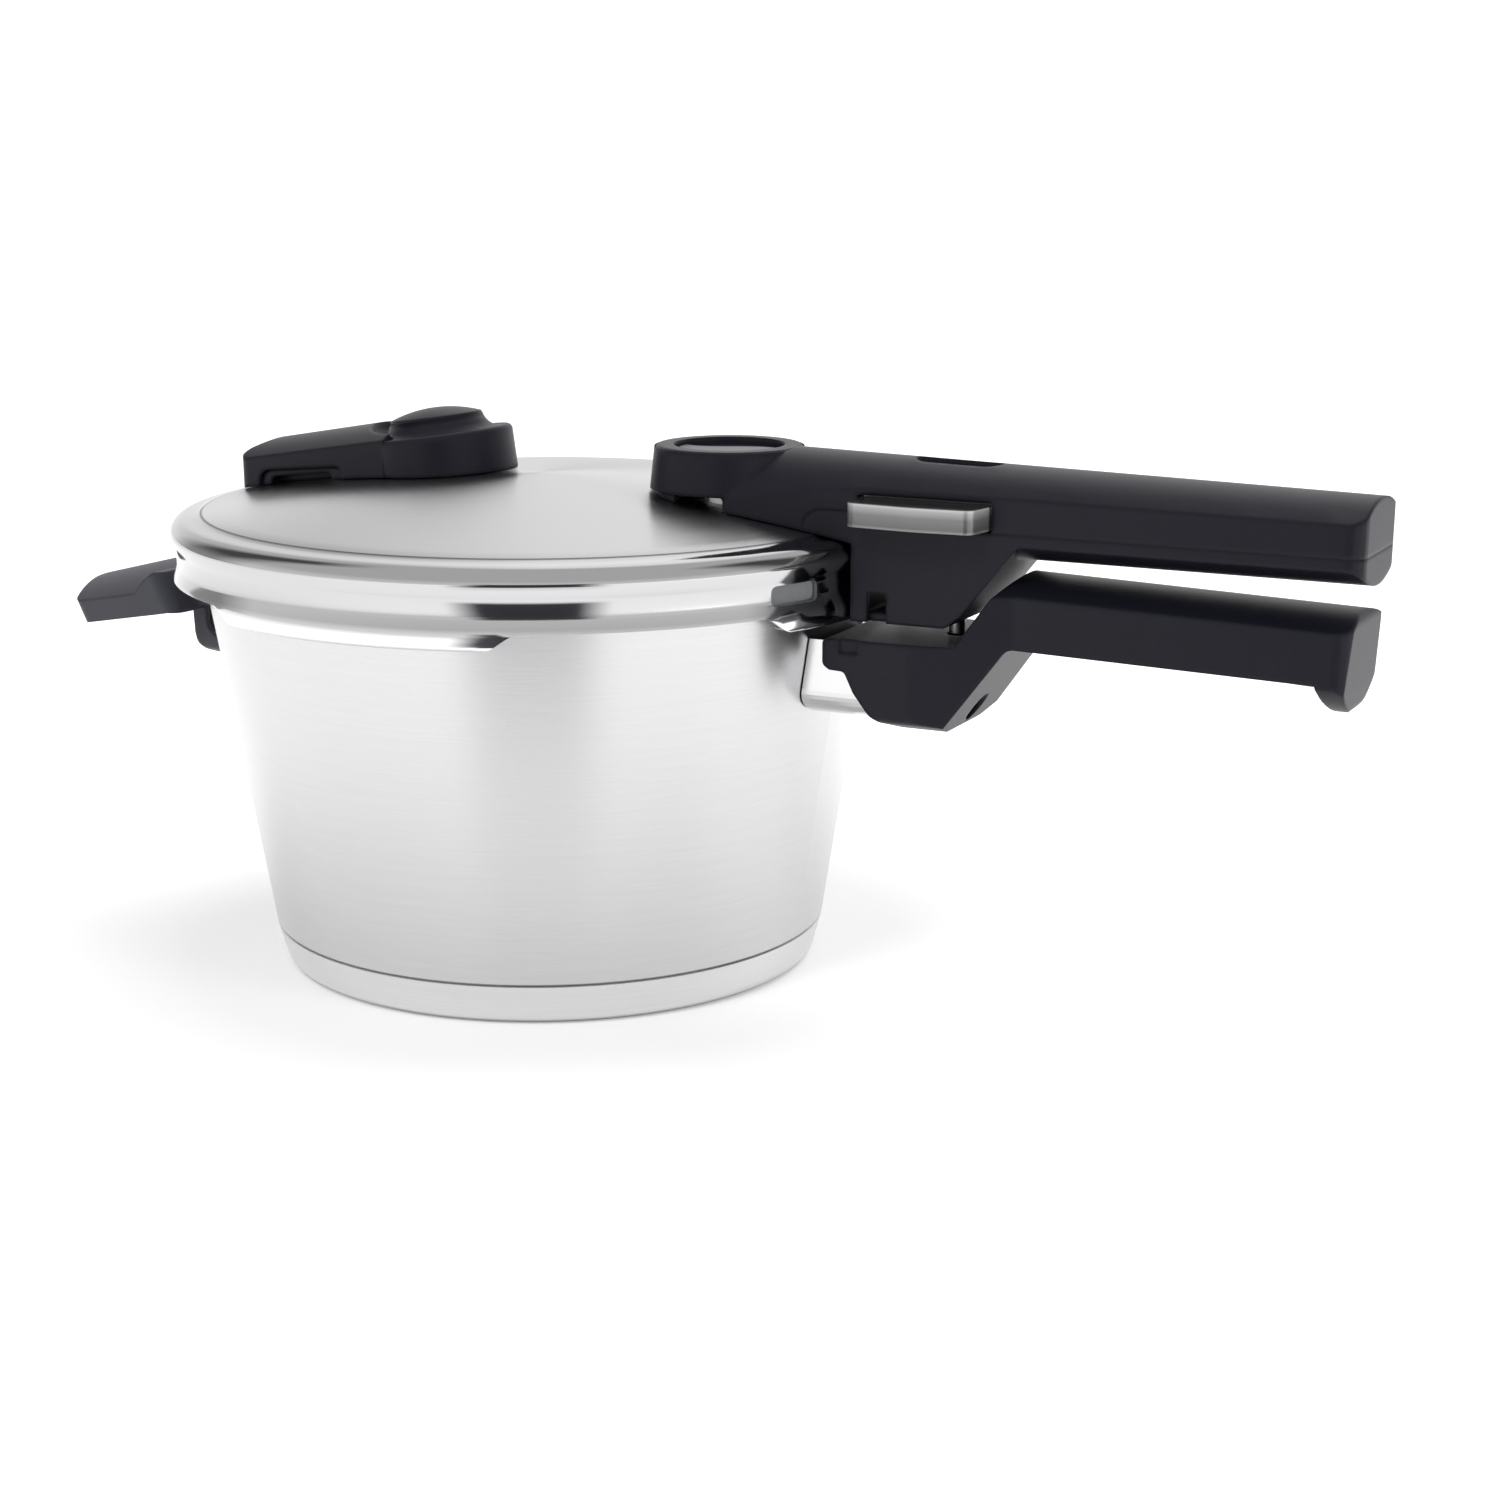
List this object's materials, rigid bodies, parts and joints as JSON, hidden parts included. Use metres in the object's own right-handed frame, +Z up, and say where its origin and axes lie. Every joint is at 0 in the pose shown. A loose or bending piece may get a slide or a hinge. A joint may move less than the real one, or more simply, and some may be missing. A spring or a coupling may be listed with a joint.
{
  "type": "stovetop pressure cooker",
  "caption": "Stovetop pressure cooker: tapered steel pot, bayonet lid, long upper and lower grips, helper grip, push button lock and a rising cooking indicator.",
  "frame": {"origin": "centre of the base's underside, on the pot's axis", "axes": "+Z up along the pot's axis, +X along the long handles"},
  "size_m": [0.4542, 0.24, 0.1786],
  "materials": {
    "steel_brushed": "brushed across the wall, polished at the collar",
    "steel_satin": "satin",
    "steel_plain": "plain stamped sheet and turned parts",
    "aluminium": "cast",
    "grip_black": "fine matte texture, blue-black",
    "button_grey": "polished warm grey",
    "silicone": "matte grey",
    "brass": "turned",
    "flag_green": "matte green",
    "band_orange": "matte orange",
    "lens": "smoked clear"
  },
  "bodies": {
    "pot": {"pot_body": "steel_brushed", "base_core": "aluminium", "base_capsule": "steel_satin", "pot_handle": "grip_black", "handle_bracket": "steel_plain", "flame_guard": "steel_plain", "pot_handle_screw": "steel_plain", "helper_handle": "grip_black", "helper_guard": "steel_plain", "helper_bracket": "steel_plain", "helper_screw": "steel_plain"},
    "lid": {"lid_shell": "steel_brushed", "sealing_ring": "silicone", "lid_handle_top": "grip_black", "lid_handle_base": "grip_black", "head_spacer": "grip_black", "head_cap": "grip_black", "handle_insert": "brass", "handle_bolt": "steel_plain", "handle_screws": "steel_plain", "window": "lens", "button_spring": "steel_plain", "lock_spring": "steel_plain", "valve_housing": "grip_black", "steam_outlet": "grip_black", "valve_body": "brass", "valve_seal": "silicone", "valve_nut": "steel_plain", "valve_spring": "steel_plain", "float_bush": "steel_plain", "float_seal": "silicone"},
    "button": {"operating_button": "button_grey"},
    "lock": {"lock_pin": "steel_plain", "lock_flag": "flag_green"},
    "indicator": {"indicator_stem": "steel_plain", "indicator_cap": "grip_black", "indicator_band": "band_orange"},
    "float": {"float_pin": "steel_plain"}
  },
  "joints": [
    {"name": "lid_turn", "type": "hinge", "parent": "pot", "child": "lid", "pos_m": [0, 0, 0.13], "axis": [0, 0, 1], "range_deg": [0, 45]},
    {"name": "button_push", "type": "slide", "parent": "lid", "child": "button", "axis": [0, 1, 0], "range_m": [0, 0.006], "stiffness_N_per_m": 800, "springref_m": -0.002, "deforming": ["button_spring"]},
    {"name": "lock_lift", "type": "slide", "parent": "lid", "child": "lock", "axis": [0, 0, 1], "range_m": [0, 0.004], "stiffness_N_per_m": 300, "springref_m": -0.002, "deforming": ["lock_spring"]},
    {"name": "indicator_rise", "type": "slide", "parent": "lid", "child": "indicator", "axis": [0, 0, 1], "range_m": [0, 0.005], "stiffness_N_per_m": 500, "springref_m": -0.002, "deforming": ["valve_spring"]},
    {"name": "float_rise", "type": "slide", "parent": "lid", "child": "float", "axis": [0, 0, 1], "range_m": [0, 0.0025]}
  ],
  "couplings": [
    {"joint": "lock_lift", "follows": "button_push", "ratio": 0.66667}
  ]
}
